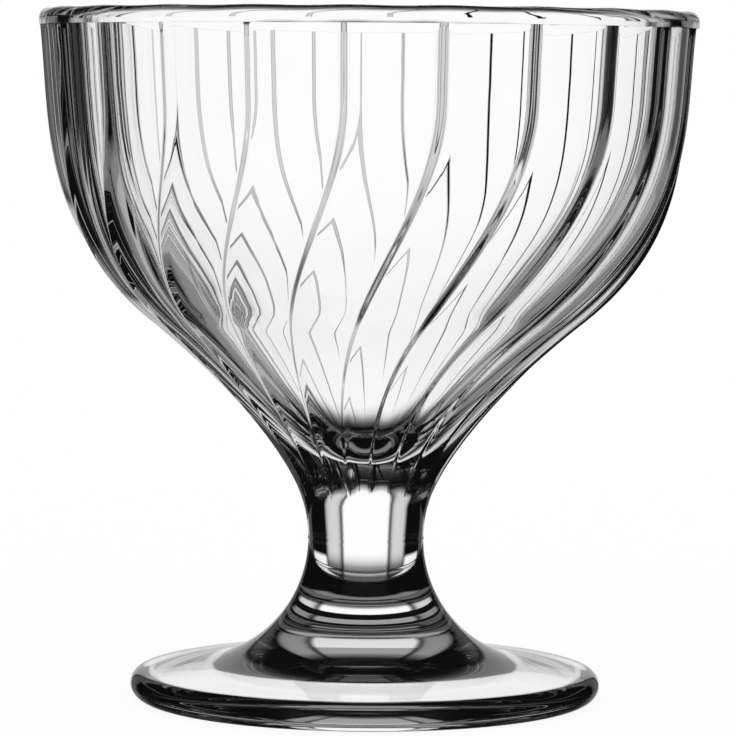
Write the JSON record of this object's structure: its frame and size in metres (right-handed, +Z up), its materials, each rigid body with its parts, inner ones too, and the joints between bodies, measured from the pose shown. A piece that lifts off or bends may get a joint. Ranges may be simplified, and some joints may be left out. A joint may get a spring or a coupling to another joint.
{
  "type": "parfait glass",
  "caption": "Footed dessert glass: wide cup with swirled flutes and a plain rim, on a short waisted stem and a round foot with a thick rounded edge.",
  "frame": {"origin": "centre of the foot's underside, on the plane that the glass stands on", "axes": "+Z up along the axis of the bowl, stem and foot; -Y faces the viewer of the picture"},
  "size_m": [0.102, 0.102, 0.107],
  "materials": {
    "bowl_glass": "clear fire-polished pressed glass",
    "stem_glass": "clear fire-polished pressed glass",
    "foot_glass": "clear fire-polished pressed glass"
  },
  "bodies": {
    "root": {"bowl": "bowl_glass", "stem": "stem_glass", "foot": "foot_glass"}
  },
  "joints": []
}
